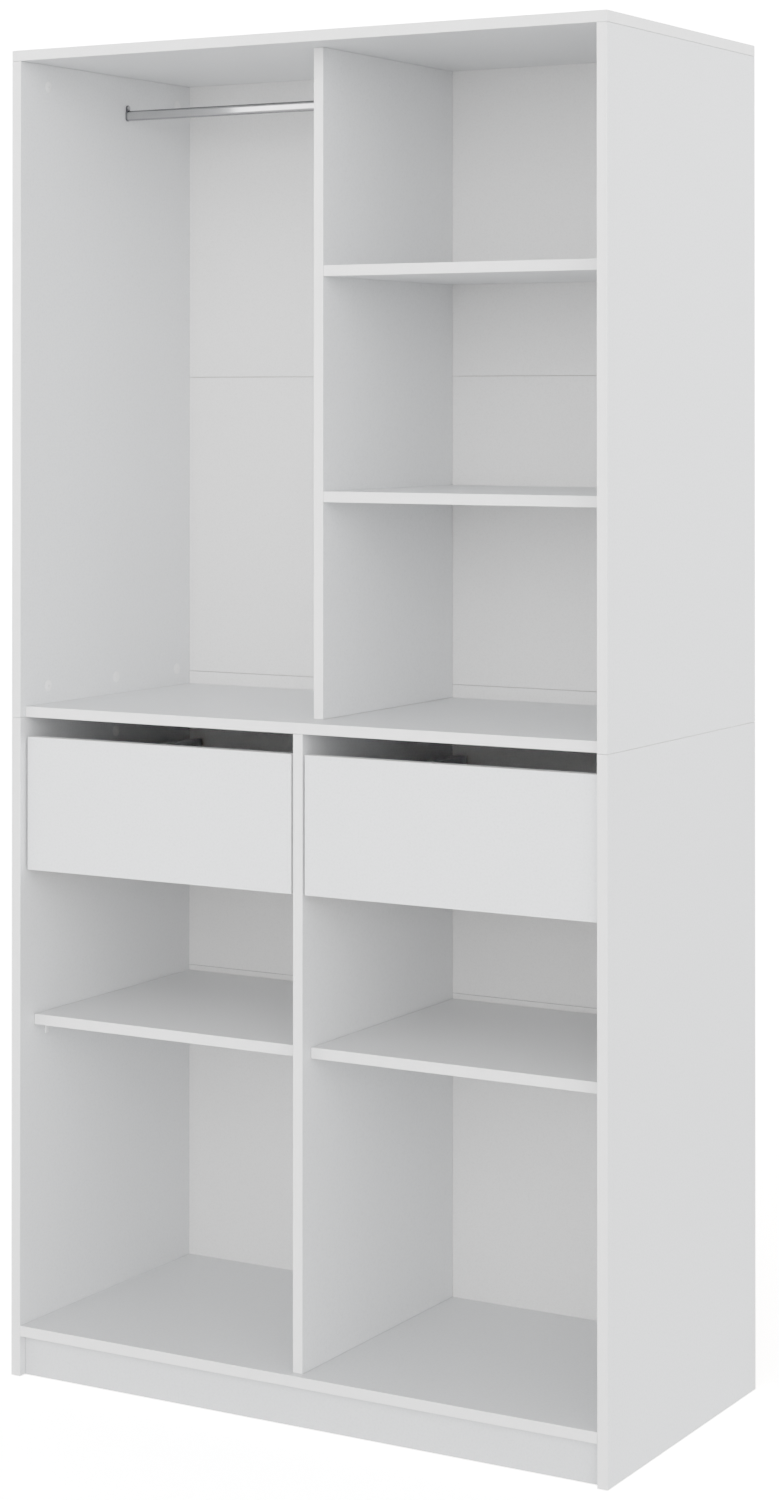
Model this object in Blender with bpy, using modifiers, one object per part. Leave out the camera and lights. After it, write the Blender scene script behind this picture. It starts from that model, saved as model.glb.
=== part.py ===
"""Open two-tier wardrobe: hanging space with a rail, fixed and loose shelves,
and two drawers on telescopic runners.

Metres, +Z up. The front faces -Y. The origin is on the floor, under the
middle of the carcass.
"""

import math

import bmesh
import bpy
from mathutils import Matrix, Vector

# ------------------------------------------------------------ driving sizes
WIDTH = 1.000            # over the side panels
DEPTH = 0.500            # over the side panels
HEIGHT = 2.000           # floor to top face
BOARD = 0.016            # faced chipboard
SHEET = 0.003            # hardboard for the back and the drawer bottoms
GAP = 0.0003             # clearance between pieces that meet
EDGE = 0.0005            # rounding of the board edges

PLINTH_H = 0.060         # underside of the bottom panel
JOINT_Z = 0.992          # where the upper sides stand on the lower sides
INSET = 0.013            # front set-back: plinth, lower divider, drawers
SHELF_INSET = 0.035      # front set-back of the two lower shelves
UPPER_INSET = 0.070      # front set-back of the upper divider and shelves

LOWER_SHELF_TOP = 0.540
UPPER_SHELF_LOW_TOP = 1.339
UPPER_SHELF_HIGH_TOP = 1.667

BACK_FRONT = 0.459       # front face of the back sheets, from the front edge
BACK_ROWS = 4
BACK_GROOVE = 0.008      # groove depth in the sides and the bottom
TOP_GROOVE = 0.005

RAIL_Z = 1.9226
RAIL_Y = 0.280           # from the front edge
RAIL_H = 0.016           # oval tube: over its height
RAIL_D = 0.009           # and over its depth
RAIL_WALL = 0.001

DRAWER_Z = (0.7615, 0.9625)      # lower and upper edge of the drawer fronts
DRAWER_REVEAL = 0.0036           # gap at each end of a drawer front
RUNNER_SPACE = 0.013             # between carcass and drawer box, each side
BOX_Z = (0.770, 0.920)           # lower and upper edge of the drawer sides
BOX_REAR = 0.452
BOX_BACK_TOP = 0.900
BOTTOM_Z = 0.780                 # underside of the drawer bottom
BOTTOM_GROOVE = 0.008

RUNNER_Z = 0.815                 # middle of the runners
RUNNER_Y = (0.0325, 0.4325)      # runner length, from the front edge
MIDDLE_Y = (0.0375, 0.4175)      # middle member

CAM_R = 0.0073
CAM_DEPTH = 0.0122
CAM_RIM_R = 0.0088
TOP_CAM_Z = 1.950
JOINT_CAM_Z = 1.0345
TOP_CAM_Y = (0.070, 0.422)
JOINT_CAM_Y = (0.070, 0.250, 0.421)

SUPPORT_Y = (0.066, 0.400)       # shelf supports, from the front edge

INNER_X = WIDTH / 2 - BOARD      # inner faces of the sides
HALF_DIV = BOARD / 2             # faces of the dividers


def fy(setback):
    """Y of a point that lies this far behind the front edge."""
    return -DEPTH / 2 + setback


# ------------------------------------------------------------- clean scene
for old in list(bpy.data.objects):
    bpy.data.objects.remove(old, do_unlink=True)

PARTS = bpy.data.collections.new("wardrobe")
CUTTERS = bpy.data.collections.new("wardrobe_cutters")
bpy.context.scene.collection.children.link(PARTS)
bpy.context.scene.collection.children.link(CUTTERS)


# --------------------------------------------------------------- materials
def material(name, colour, roughness, metallic=0.0):
    mat = bpy.data.materials.new(name)
    mat.use_nodes = True
    shader = mat.node_tree.nodes["Principled BSDF"]
    shader.inputs["Base Color"].default_value = (*colour, 1.0)
    shader.inputs["Roughness"].default_value = roughness
    shader.inputs["Metallic"].default_value = metallic
    return mat


WHITE_BOARD = material("white_board", (0.80, 0.80, 0.80), 0.45)
WHITE_SHEET = material("white_sheet", (0.76, 0.76, 0.76), 0.50)
CHROME = material("chrome", (0.62, 0.62, 0.64), 0.12, 1.0)
ZINC = material("zinc_steel", (0.52, 0.53, 0.55), 0.32, 1.0)
WHITE_PLASTIC = material("white_plastic", (0.82, 0.82, 0.82), 0.35)


# ------------------------------------------------------------------ helpers
def empty(name, location):
    obj = bpy.data.objects.new(name, None)
    obj.empty_display_size = 0.05
    obj.location = location
    PARTS.objects.link(obj)
    return obj


def place(obj, location, parent=None):
    offset = parent.location if parent else Vector((0.0, 0.0, 0.0))
    obj.parent = parent
    obj.location = Vector(location) - offset


def add(name, mesh, location, mat, parent=None):
    obj = bpy.data.objects.new(name, mesh)
    if not mesh.materials:
        mesh.materials.append(mat)
    PARTS.objects.link(obj)
    place(obj, location, parent)
    return obj


def cube_mesh(name, size):
    mesh = bpy.data.meshes.new(name)
    bm = bmesh.new()
    bmesh.ops.create_cube(bm, size=1.0, matrix=Matrix.Diagonal((*size, 1.0)))
    bm.to_mesh(mesh)
    bm.free()
    return mesh


def cut(obj, cutter, operation="DIFFERENCE"):
    mod = obj.modifiers.new(cutter.name, "BOOLEAN")
    mod.operation = operation
    mod.solver = "EXACT"
    mod.object = cutter


def board(name, lo, hi, mat, parent=None, cuts=(), edge=EDGE):
    """A board between two corners, with softly rounded edges."""
    lo, hi = Vector(lo), Vector(hi)
    obj = add(name, cube_mesh(name, hi - lo), (lo + hi) / 2, mat, parent)
    bevel = obj.modifiers.new("edges", "BEVEL")
    bevel.width = edge
    bevel.segments = 2
    bevel.limit_method = "NONE"
    for cutter in cuts:
        cut(obj, cutter)
    return obj


def as_cutter(name, mesh):
    obj = bpy.data.objects.new(name, mesh)
    obj.hide_render = True
    obj.display_type = "WIRE"
    CUTTERS.objects.link(obj)
    return obj


def groove(name, lo, hi):
    lo, hi = Vector(lo), Vector(hi)
    obj = as_cutter(name, cube_mesh(name, hi - lo))
    obj.location = (lo + hi) / 2
    return obj


def bores(name, centres, radius, length, segments=24):
    """Round cutters along X, all in one mesh, each centred on its point."""
    mesh = bpy.data.meshes.new(name)
    bm = bmesh.new()
    along_x = Matrix.Rotation(math.pi / 2, 4, "Y")
    for centre in centres:
        bmesh.ops.create_cone(
            bm, cap_ends=True, segments=segments, radius1=radius,
            radius2=radius, depth=length,
            matrix=Matrix.Translation(centre) @ along_x)
    bm.to_mesh(mesh)
    bm.free()
    return as_cutter(name, mesh)


def outline(name, loops, half_thickness):
    """A flat outline, with holes, made solid along its local Z."""
    curve = bpy.data.curves.new(name, "CURVE")
    curve.dimensions = "2D"
    curve.fill_mode = "BOTH"
    curve.extrude = half_thickness
    for loop in loops:
        spline = curve.splines.new("POLY")
        spline.points.add(len(loop) - 1)
        for point, (u, v) in zip(spline.points, loop):
            point.co = (u, v, 0.0, 1.0)
        spline.use_cyclic_u = True
    return curve


def solid_mesh(name, data, matrix=Matrix.Identity(4), modify=None):
    """The closed mesh of a curve or of a mesh with modifiers, turned by a
    matrix."""
    tmp = bpy.data.objects.new(name + "_tmp", data)
    bpy.context.scene.collection.objects.link(tmp)
    if modify:
        modify(tmp)
    bpy.context.view_layer.update()
    graph = bpy.context.evaluated_depsgraph_get()
    mesh = bpy.data.meshes.new_from_object(tmp.evaluated_get(graph))
    bpy.data.objects.remove(tmp, do_unlink=True)
    bm = bmesh.new()
    bm.from_mesh(mesh)
    bmesh.ops.remove_doubles(bm, verts=bm.verts, dist=1e-6)
    bmesh.ops.transform(bm, matrix=matrix, verts=bm.verts)
    bm.to_mesh(mesh)
    bm.free()
    mesh.materials.clear()
    mesh.name = name
    return mesh


def circle(radius, segments, centre=(0.0, 0.0)):
    step = 2 * math.pi / segments
    return [(centre[0] + radius * math.cos(i * step),
             centre[1] + radius * math.sin(i * step)) for i in range(segments)]


def arc(radius, start, end, steps, centre=(0.0, 0.0)):
    return [(centre[0] + radius * math.cos(start + (end - start) * i / steps),
             centre[1] + radius * math.sin(start + (end - start) * i / steps))
            for i in range(steps + 1)]


def oval(width, height, steps):
    """An outline with straight sides and round ends above and below."""
    rise = (height - width) / 2
    return (arc(width / 2, 0.0, math.pi, steps, (0.0, rise))
            + arc(width / 2, math.pi, 2 * math.pi, steps, (0.0, -rise)))


def smooth(mesh, angle=35):
    mesh.shade_smooth()
    mesh.set_sharp_from_angle(angle=math.radians(angle))


# Turns an outline drawn in (Y, Z) so that its thickness runs along X.
YZ_ALONG_X = Matrix(((0, 0, 1, 0), (1, 0, 0, 0), (0, 1, 0, 0), (0, 0, 0, 1)))
# Turns an outline drawn in (X, Z) so that its thickness runs along Y.
XZ_ALONG_Y = Matrix.Rotation(math.pi / 2, 4, "X")
FLIP_X = Matrix.Rotation(math.pi, 4, "Z")

# ------------------------------------------------------------------ carcass
carcass = empty("carcass", (0.0, 0.0, 0.0))
back_y = fy(BACK_FRONT)
rear_y = back_y - GAP                    # where inner boards stop
slot_lo = back_y - GAP
slot_hi = back_y + SHEET + GAP
top_z = HEIGHT - BOARD                   # underside of the top panel
mid_top = JOINT_Z + BOARD
floor_top = PLINTH_H + BOARD

board("top_panel", (-WIDTH / 2, fy(0), top_z), (WIDTH / 2, fy(DEPTH), HEIGHT),
      WHITE_BOARD, carcass,
      [groove("groove_top", (-INNER_X - BACK_GROOVE, slot_lo, top_z - 0.004),
              (INNER_X + BACK_GROOVE, slot_hi, top_z + TOP_GROOVE))])

for side, sign in (("left", -1), ("right", 1)):
    inner, outer = sign * INNER_X, sign * WIDTH / 2
    x_lo, x_hi = min(inner, outer), max(inner, outer)
    groove_x = sorted((inner - sign * 0.004, inner + sign * BACK_GROOVE))
    bore_x = inner + sign * (CAM_DEPTH + GAP - 0.004) / 2
    bore_len = CAM_DEPTH + GAP + 0.004
    cams = bores(
        "bores_cam_" + side,
        [(bore_x, fy(y), TOP_CAM_Z) for y in TOP_CAM_Y]
        + [(bore_x, fy(y), JOINT_CAM_Z) for y in JOINT_CAM_Y],
        CAM_R + 0.0002, bore_len)
    pegs = bores(
        "bores_peg_" + side,
        [(inner + sign * 0.0023, fy(y),
          LOWER_SHELF_TOP - BOARD - 0.008) for y in SUPPORT_Y],
        0.0028, 0.0126, 16)
    slot = groove("groove_side_" + side, (groove_x[0], slot_lo, -0.01),
                  (groove_x[1], slot_hi, HEIGHT + 0.01))
    board(side + "_side_upper", (x_lo, fy(0), JOINT_Z + GAP / 2),
          (x_hi, fy(DEPTH), top_z - GAP), WHITE_BOARD, carcass, [slot, cams])
    board(side + "_side_lower", (x_lo, fy(0), 0.0),
          (x_hi, fy(DEPTH), JOINT_Z - GAP / 2), WHITE_BOARD, carcass,
          [slot, pegs])

inner_lo, inner_hi = -INNER_X + GAP, INNER_X - GAP
board("middle_panel", (inner_lo, fy(INSET), JOINT_Z),
      (inner_hi, rear_y, mid_top), WHITE_BOARD, carcass)
board("bottom_panel", (inner_lo, fy(0), PLINTH_H),
      (inner_hi, fy(DEPTH), floor_top), WHITE_BOARD, carcass,
      [groove("groove_bottom", (-WIDTH, slot_lo, floor_top - BACK_GROOVE),
              (WIDTH, slot_hi, floor_top + 0.004))])
board("plinth", (inner_lo, fy(INSET), 0.0),
      (inner_hi, fy(INSET + BOARD), PLINTH_H - GAP), WHITE_BOARD, carcass)
board("upper_divider", (-HALF_DIV, fy(UPPER_INSET), mid_top + GAP),
      (HALF_DIV, rear_y, top_z - GAP), WHITE_BOARD, carcass)

pin_z = LOWER_SHELF_TOP - BOARD - GAP - 0.0025
board("lower_divider", (-HALF_DIV, fy(INSET), floor_top + GAP),
      (HALF_DIV, rear_y, JOINT_Z - GAP), WHITE_BOARD, carcass,
      [bores("bores_pin", [(0.0, fy(y), pin_z) for y in SUPPORT_Y], 0.0028,
             BOARD + 0.01, 16)])

# Four equal sheets in the grooves make up the back.
sheet_lo = floor_top - BACK_GROOVE + GAP
sheet_hi = top_z + TOP_GROOVE - GAP
pitch = (sheet_hi - sheet_lo) / BACK_ROWS
for row in range(BACK_ROWS):
    z0 = sheet_hi - (row + 1) * pitch
    z1 = sheet_hi - row * pitch
    board("back_sheet_%d" % (row + 1),
          (-INNER_X - BACK_GROOVE + 0.0005, back_y,
           z0 + (GAP if row < BACK_ROWS - 1 else 0.0)),
          (INNER_X + BACK_GROOVE - 0.0005, back_y + SHEET,
           z1 - (GAP if row else 0.0)),
          WHITE_SHEET, carcass, edge=0.0003)

# ------------------------------------------------------------------ shelves
for name, top in (("upper_shelf_high", UPPER_SHELF_HIGH_TOP),
                  ("upper_shelf_low", UPPER_SHELF_LOW_TOP)):
    board(name, (HALF_DIV + GAP, fy(UPPER_INSET), top - BOARD),
          (inner_hi, rear_y, top), WHITE_BOARD, carcass)
board("lower_left_shelf",
      (-INNER_X + 0.001, fy(SHELF_INSET), LOWER_SHELF_TOP - BOARD),
      (-HALF_DIV - 0.001, rear_y - 0.001, LOWER_SHELF_TOP),
      WHITE_BOARD, carcass)
board("lower_right_shelf",
      (HALF_DIV + 0.001, fy(SHELF_INSET), LOWER_SHELF_TOP - BOARD),
      (INNER_X - 0.001, rear_y - 0.001, LOWER_SHELF_TOP),
      WHITE_BOARD, carcass)

# Angled supports in the sides: a ledge under the shelf, a plate and a peg.
ledge = [(GAP, -GAP), (GAP, -0.018), (0.0023, -0.018), (0.0023, -0.0023),
         (0.0103, -0.0023), (0.0103, -GAP)]
peg = bores("peg_solid", [(-0.0034, 0.0, -0.008)], 0.0025, 0.0092, 16)
support_mesh = solid_mesh(
    "shelf_support", solid_mesh("ledge", outline("ledge", [ledge], 0.004),
                                XZ_ALONG_Y),
    modify=lambda obj: cut(obj, peg, "UNION"))
bpy.data.objects.remove(peg, do_unlink=True)
support_z = LOWER_SHELF_TOP - BOARD
for side, sign in (("left", -1), ("right", 1)):
    for where, y in zip(("front", "rear"), SUPPORT_Y):
        obj = add("shelf_support_%s_%s" % (side, where), support_mesh,
                  (sign * INNER_X, fy(y), support_z), WHITE_PLASTIC,
                  carcass)
        obj.rotation_euler.z = 0.0 if sign < 0 else math.pi

# Straight pins through the lower divider carry the shelves on both sides.
pin_mesh = bpy.data.meshes.new("shelf_pin")
bm = bmesh.new()
bmesh.ops.create_cone(bm, cap_ends=True, segments=16, radius1=0.0025,
                      radius2=0.0025, depth=0.034,
                      matrix=Matrix.Rotation(math.pi / 2, 4, "Y"))
bm.to_mesh(pin_mesh)
bm.free()
for where, y in zip(("front", "rear"), SUPPORT_Y):
    obj = add("shelf_pin_" + where, pin_mesh, (0.0, fy(y), pin_z), ZINC,
              carcass)
    bevel = obj.modifiers.new("ends", "BEVEL")
    bevel.width = 0.0006
    bevel.segments = 1
    bevel.limit_method = "ANGLE"
    bevel.angle_limit = math.radians(60)

# ------------------------------------------------------------- hanging rail
rail_from = -INNER_X + GAP + 0.0025 + GAP
rail_to = -HALF_DIV - GAP - 0.0025 - GAP
bore_d, bore_h = RAIL_D - 2 * RAIL_WALL, RAIL_H - 2 * RAIL_WALL
rail = outline("hanging_rail", [oval(RAIL_D, RAIL_H, 16),
                                oval(bore_d, bore_h, 16)],
               (rail_to - rail_from) / 2)
rail_mesh = solid_mesh("hanging_rail", rail, YZ_ALONG_X)
smooth(rail_mesh)
add("hanging_rail", rail_mesh,
    ((rail_from + rail_to) / 2, fy(RAIL_Y), RAIL_Z), CHROME, carcass)

# End bracket: a plate with a screw tab above the rail, and a spigot in it.
tab_w, tab_top, flange = 0.0042, 0.0168, RAIL_D / 2 + 0.0006
rise = (RAIL_H - RAIL_D) / 2
lift = math.acos(tab_w / flange)
plate_loop = (arc(flange, math.pi - lift, math.pi, 4, (0.0, rise))
              + arc(flange, math.pi, 2 * math.pi, 16, (0.0, -rise))
              + arc(flange, 2 * math.pi, 2 * math.pi + lift, 4, (0.0, rise))
              + arc(tab_w, 0.0, math.pi, 10, (0.0, tab_top - tab_w)))
plate = outline("rail_plate", [plate_loop,
                               circle(0.0017, 14, (0.0, tab_top - tab_w))],
                0.00125)
spigot = as_cutter("spigot_solid", solid_mesh(
    "spigot_solid",
    outline("spigot", [oval(bore_d - 0.0008, bore_h - 0.0008, 16)], 0.00535),
    Matrix.Translation((0.0057, 0.0, 0.0)) @ YZ_ALONG_X))
bracket_mesh = solid_mesh(
    "rail_bracket", solid_mesh("rail_plate", plate, YZ_ALONG_X),
    modify=lambda obj: cut(obj, spigot, "UNION"))
bpy.data.objects.remove(spigot, do_unlink=True)
smooth(bracket_mesh)
left_bracket = add("rail_bracket_left", bracket_mesh,
                   (-INNER_X + GAP + 0.00125, fy(RAIL_Y), RAIL_Z), CHROME,
                   carcass)
right_bracket = add("rail_bracket_right", bracket_mesh,
                    (-HALF_DIV - GAP - 0.00125, fy(RAIL_Y), RAIL_Z), CHROME,
                    carcass)
right_bracket.rotation_euler.z = math.pi

# ---------------------------------------------------- cam connectors, rimmed
cam_profile = [(0.0, 0.0015), (0.0074, 0.0015), (CAM_RIM_R, 0.0008),
               (CAM_RIM_R, GAP), (CAM_R, GAP), (CAM_R, -CAM_DEPTH),
               (0.0, -CAM_DEPTH)]
profile_mesh = bpy.data.meshes.new("cam_profile")
bm = bmesh.new()
rim = [bm.verts.new((r, 0.0, z)) for r, z in cam_profile]
for a, b in zip(rim, rim[1:]):
    bm.edges.new((a, b))
bm.to_mesh(profile_mesh)
bm.free()


def turn(obj):
    mod = obj.modifiers.new("turned", "SCREW")
    mod.steps = mod.render_steps = 24
    mod.use_merge_vertices = True
    mod.merge_threshold = 0.00001
    mod.use_smooth_shade = False


turned = solid_mesh("cam_turned", profile_mesh, modify=turn)
cross = as_cutter("cross_one", cube_mesh("cross_one", (0.0070, 0.0013, 0.0026)))
cross.location = (0.0, 0.0, 0.0016)
cross_two = as_cutter("cross_two",
                      cube_mesh("cross_two", (0.0013, 0.0070, 0.0026)))
cross_two.location = (0.0, 0.0, 0.0016)


def recess(obj):
    cut(obj, cross)
    cut(obj, cross_two)


cam_mesh = solid_mesh("cam", turned, Matrix.Rotation(math.pi / 2, 4, "Y"),
                      recess)
for tool in (cross, cross_two):
    bpy.data.objects.remove(tool, do_unlink=True)
smooth(cam_mesh, 30)

for side, sign in (("left", -1), ("right", 1)):
    rows = ([("top", where, y, TOP_CAM_Z)
             for where, y in zip(("front", "rear"), TOP_CAM_Y)]
            + [("joint", where, y, JOINT_CAM_Z)
               for where, y in zip(("front", "middle", "rear"), JOINT_CAM_Y)])
    for row, where, y, z in rows:
        obj = add("cam_%s_%s_%s" % (row, side, where), cam_mesh,
                  (sign * INNER_X, fy(y), z), WHITE_PLASTIC, carcass)
        obj.rotation_euler.z = 0.0 if sign < 0 else math.pi

# ------------------------------------------------------------------ drawers


def channel(web, depth, half, lip, steel=0.0012):
    """A lipped channel: web position, far edge, half height, lip height."""
    s = steel if depth > web else -steel
    return [(web, -half), (depth, -half), (depth, -half + lip),
            (depth - s, -half + lip), (depth - s, -half + steel),
            (web + s, -half + steel), (web + s, half - steel),
            (depth - s, half - steel), (depth - s, half - lip),
            (depth, half - lip), (depth, half), (web, half)]


def runner_meshes():
    """Cabinet, middle and drawer member, as sections from the carcass face
    at 0 to the drawer box at RUNNER_SPACE."""
    sections = {
        "outer": (channel(GAP, 0.0098, 0.0225, 0.0037), RUNNER_Y),
        "middle": (channel(0.0026, 0.0108, 0.0176, 0.0036), MIDDLE_Y),
        "inner": (channel(RUNNER_SPACE - GAP, 0.0054, 0.0126, 0.0034),
                  RUNNER_Y),
    }
    made = {}
    for member, (section, (y0, y1)) in sections.items():
        curve = outline("runner_" + member, [section], (y1 - y0) / 2)
        made[member] = (solid_mesh("runner_" + member, curve, XZ_ALONG_Y),
                        (y0 + y1) / 2)
    return made


RUNNERS = runner_meshes()

for drawer, x0, x1 in (("left_drawer", -INNER_X, -HALF_DIV),
                       ("right_drawer", HALF_DIV, INNER_X)):
    centre = (x0 + x1) / 2
    body = empty(drawer, (centre, fy(INSET), RUNNER_Z))
    box_lo, box_hi = x0 + RUNNER_SPACE, x1 - RUNNER_SPACE
    side_y = fy(INSET + BOARD + GAP)
    bottom_slot = groove(
        "groove_" + drawer,
        (box_lo + BOARD - BOTTOM_GROOVE,
         fy(INSET + BOARD - BOTTOM_GROOVE), BOTTOM_Z - GAP),
        (box_hi - BOARD + BOTTOM_GROOVE, fy(DEPTH), BOTTOM_Z + SHEET + GAP))

    board(drawer + "_front",
          (x0 + DRAWER_REVEAL, fy(INSET), DRAWER_Z[0]),
          (x1 - DRAWER_REVEAL, fy(INSET + BOARD), DRAWER_Z[1]),
          WHITE_BOARD, body, [bottom_slot])
    board(drawer + "_side_left", (box_lo, side_y, BOX_Z[0]),
          (box_lo + BOARD, fy(BOX_REAR), BOX_Z[1]), WHITE_BOARD, body,
          [bottom_slot])
    board(drawer + "_side_right", (box_hi - BOARD, side_y, BOX_Z[0]),
          (box_hi, fy(BOX_REAR), BOX_Z[1]), WHITE_BOARD, body,
          [bottom_slot])
    board(drawer + "_back",
          (box_lo + BOARD + GAP, fy(BOX_REAR - BOARD),
           BOTTOM_Z + SHEET + GAP),
          (box_hi - BOARD - GAP, fy(BOX_REAR), BOX_BACK_TOP),
          WHITE_BOARD, body)
    board(drawer + "_bottom",
          (box_lo + BOARD - BOTTOM_GROOVE + 0.0005,
           fy(INSET + BOARD - BOTTOM_GROOVE + 0.0005), BOTTOM_Z),
          (box_hi - BOARD + BOTTOM_GROOVE - 0.0005, fy(BOX_REAR - 0.0005),
           BOTTOM_Z + SHEET), WHITE_SHEET, body, edge=0.0003)

    for hand, x, turn_z in (("left", x0, 0.0), ("right", x1, math.pi)):
        for member, (mesh, mid_y) in RUNNERS.items():
            obj = add("%s_runner_%s_%s" % (drawer, hand, member), mesh,
                      (x, fy(mid_y), RUNNER_Z), ZINC,
                      body if member == "inner" else carcass)
            obj.rotation_euler.z = turn_z
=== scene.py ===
"""Looks of the open wardrobe: finishes, fittings, studio light and camera.

Metres, +Z up, the front faces -Y. The boards and sheets are the model's own
solids with finishes of their own. The small fittings are remade here with
rounded edges, bends, holes and recesses, each one where its solid is.
"""

import math

import bmesh
import bpy
from mathutils import Matrix, Vector


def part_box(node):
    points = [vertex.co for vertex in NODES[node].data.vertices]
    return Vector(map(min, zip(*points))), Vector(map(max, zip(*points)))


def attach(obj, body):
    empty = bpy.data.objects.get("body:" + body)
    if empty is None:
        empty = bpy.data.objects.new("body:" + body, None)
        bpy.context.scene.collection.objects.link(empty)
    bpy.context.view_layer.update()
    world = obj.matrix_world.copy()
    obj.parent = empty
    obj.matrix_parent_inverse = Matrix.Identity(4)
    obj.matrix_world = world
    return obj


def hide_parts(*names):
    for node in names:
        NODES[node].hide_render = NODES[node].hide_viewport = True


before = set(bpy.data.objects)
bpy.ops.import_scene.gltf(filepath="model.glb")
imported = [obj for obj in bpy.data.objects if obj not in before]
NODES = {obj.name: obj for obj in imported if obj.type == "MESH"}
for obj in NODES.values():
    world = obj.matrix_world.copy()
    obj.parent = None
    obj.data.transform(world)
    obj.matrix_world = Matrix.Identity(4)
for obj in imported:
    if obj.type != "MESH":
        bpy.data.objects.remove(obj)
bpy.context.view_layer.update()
SCENE = bpy.context.scene


# ----------------------------------------------------------- camera and light
def make_camera():
    data = bpy.data.cameras.new("camera")
    cam = bpy.data.objects.new("camera", data)
    SCENE.collection.objects.link(cam)
    data.sensor_fit = "AUTO"
    data.sensor_width = 36.0
    data.lens = 74.68
    data.shift_x = 0.0
    data.shift_y = -0.2467
    data.clip_start = 0.1
    data.clip_end = 60.0
    cam.location = (2.3524, -4.0390, 1.4708)
    cam.rotation_euler = (math.radians(90.0 + 0.377), 0.0, 0.5246)
    SCENE.camera = cam


class Graph:
    """Builds one shader node tree."""

    def __init__(self, tree):
        self.tree = tree

    def set(self, socket, value):
        if isinstance(value, bpy.types.NodeSocket):
            self.tree.links.new(value, socket)
        else:
            socket.default_value = value

    def add(self, kind, sockets=None, **props):
        node = self.tree.nodes.new(kind)
        for key, value in props.items():
            setattr(node, key, value)
        for key, value in (sockets or {}).items():
            self.set(node.inputs[key], value)
        return node

    def math(self, operation, a, b=0.0, clamp=False):
        return self.add("ShaderNodeMath", {0: a, 1: b}, operation=operation,
                        use_clamp=clamp).outputs[0]

    def remap(self, value, lo, hi, to_lo=0.0, to_hi=1.0, smooth=False):
        return self.add(
            "ShaderNodeMapRange",
            {"Value": value, "From Min": lo, "From Max": hi, "To Min": to_lo,
             "To Max": to_hi}, clamp=True,
            interpolation_type="SMOOTHSTEP" if smooth else "LINEAR",
        ).outputs["Result"]

    def scaled(self, vector, scale):
        return self.add("ShaderNodeVectorMath", {0: vector, 1: scale},
                        operation="MULTIPLY").outputs["Vector"]

    def noise(self, vector, scale, detail=2.0, rough=0.5, distortion=0.0):
        return self.add(
            "ShaderNodeTexNoise",
            {"Vector": vector, "Scale": scale, "Detail": detail,
             "Roughness": rough, "Distortion": distortion}).outputs["Fac"]

    def cells(self, vector, scale, output="Distance", randomness=1.0):
        return self.add("ShaderNodeTexVoronoi",
                        {"Vector": vector, "Scale": scale,
                         "Randomness": randomness}).outputs[output]

    def mix(self, factor, a, b):
        node = self.add("ShaderNodeMix", data_type="RGBA", clamp_factor=True)
        self.set(node.inputs[0], factor)
        self.set(node.inputs[6], a)
        self.set(node.inputs[7], b)
        return node.outputs[2]

    def blend(self, factor, a, b):
        """The same for plain numbers."""
        node = self.add("ShaderNodeMix", data_type="FLOAT", clamp_factor=True)
        self.set(node.inputs[0], factor)
        self.set(node.inputs[2], a)
        self.set(node.inputs[3], b)
        return node.outputs[0]

    def bump(self, height, strength=1.0):
        """Height is in metres."""
        return self.add("ShaderNodeBump",
                        {"Strength": strength, "Distance": 1.0,
                         "Height": height}).outputs["Normal"]


def make_world():
    """White studio light from all round, dimmer overhead, with a broad soft
    source on the camera's side. The backdrop itself is plain white."""
    world = bpy.data.worlds.new("studio")
    SCENE.world = world
    world.use_nodes = True
    g = Graph(world.node_tree)
    g.tree.nodes.clear()
    way = g.add("ShaderNodeTexCoord").outputs["Generated"]

    def lobe(direction, power, strength):
        facing = g.add("ShaderNodeVectorMath",
                       {0: way, 1: Vector(direction).normalized()},
                       operation="DOT_PRODUCT").outputs["Value"]
        bright = g.math("POWER", g.math("MAXIMUM", facing, 0.0), power)
        return g.math("MULTIPLY", bright, strength)

    level = g.math("ADD", lobe((0.60, -0.80, 0.05), 6.0, 1.127),
                   lobe((-0.60, -0.80, 0.05), 6.0, 0.259))
    level = g.math("ADD", level, lobe((-0.53, -0.84, 0.04), 40.0, 0.20))
    level = g.math("ADD", level, lobe((1.0, 0.0, 0.0), 1.0, 0.043))
    level = g.math("ADD", level, 1.197)
    level = g.math("SUBTRACT", level, lobe((0.0, 0.0, 1.0), 1.0, 1.062))
    studio = g.add("ShaderNodeBackground",
                   {"Color": (1.0, 1.0, 1.0, 1.0), "Strength": level})
    backdrop = g.add("ShaderNodeBackground",
                     {"Color": (1.0, 1.0, 1.0, 1.0), "Strength": 1.4})
    seen = g.add("ShaderNodeLightPath").outputs["Is Camera Ray"]
    mixed = g.add("ShaderNodeMixShader", {0: seen, 1: studio.outputs[0],
                                          2: backdrop.outputs[0]})
    out = g.add("ShaderNodeOutputWorld")
    g.tree.links.new(mixed.outputs[0], out.inputs["Surface"])


def set_response():
    """A film-like response: each doubling of the light adds the same step of
    brightness, from black at low to white at high."""
    low, high, steps = 0.0094, 1.26, 26
    view = SCENE.view_settings
    view.view_transform = "Standard"
    view.look = "None"
    view.exposure = 0.0
    view.gamma = 1.0
    view.use_curve_mapping = True
    mapping = view.curve_mapping
    mapping.use_clip = False
    line = mapping.curves[3]
    line.points[0].location = (low, 0.0)
    line.points[-1].location = (high, 1.0)
    for i in range(1, steps):
        shown = i / steps
        linear = (shown / 12.92 if shown <= 0.04045
                  else ((shown + 0.055) / 1.055) ** 2.4)
        line.points.new(low * (high / low) ** shown, linear)
    for point in line.points:
        point.handle_type = "VECTOR"
    mapping.update()


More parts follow.
